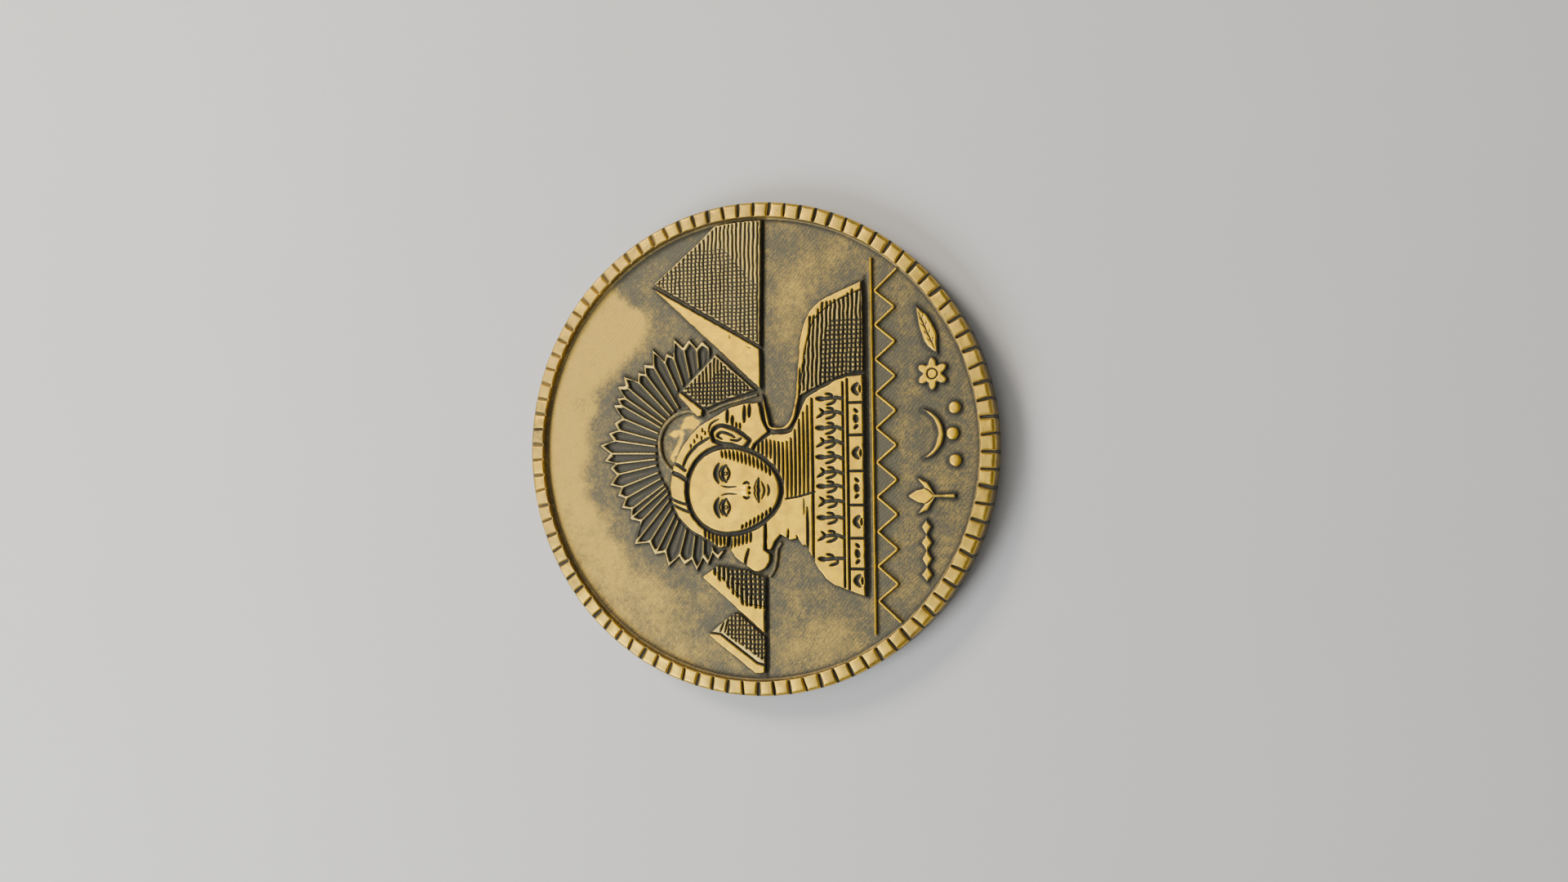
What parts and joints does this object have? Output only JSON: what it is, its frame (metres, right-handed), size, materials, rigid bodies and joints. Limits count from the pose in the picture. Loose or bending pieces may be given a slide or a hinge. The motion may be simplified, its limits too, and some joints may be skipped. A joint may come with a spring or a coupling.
{
  "type": "challenge coin",
  "caption": "Round darkened-brass commemorative coin with a notched raised border and a low-relief desert picture of a sphinx, pyramids and rays.",
  "frame": {"origin": "centre of the coin's underside", "axes": "+Z out of the obverse (picture side); +Y towards the top of the upright picture; +X to the picture's right"},
  "size_m": [0.05, 0.05, 0.0035],
  "materials": {
    "field_brass": "darkened antique patina, matt, cloudy",
    "border_brass": "hand-worn satin with dark notches",
    "relief_brass": "rubbed bright satin on the tops, dark in the engraving",
    "shaded_brass": "hatched, half darkened satin"
  },
  "bodies": {
    "root": {"core_disc": "field_brass", "notched_border": "border_brass", "right_pyramid_sunlit_face": "relief_brass", "middle_pyramid_sunlit_face": "relief_brass", "left_pyramid_sunlit_face": "relief_brass", "small_pyramid_sunlit_face": "relief_brass", "face": "relief_brass", "ear": "relief_brass", "head_cloth": "relief_brass", "left_lappet": "relief_brass", "bust": "relief_brass", "lion_contour": "relief_brass", "base_line": "relief_brass", "zigzag_ridge": "relief_brass", "lozenge_row": "relief_brass", "lotus_bud": "relief_brass", "crescent": "relief_brass", "pellet_1": "relief_brass", "pellet_2": "relief_brass", "pellet_3": "relief_brass", "rosette": "relief_brass", "leaf": "relief_brass", "right_pyramid_shaded_face": "shaded_brass", "middle_pyramid_shaded_face": "shaded_brass", "left_pyramid_shaded_face": "shaded_brass", "small_pyramid_shaded_face": "shaded_brass", "ray_crown": "shaded_brass", "halo_ring": "shaded_brass", "lion_body": "shaded_brass", "left_ground_ridge": "shaded_brass"}
  },
  "joints": []
}
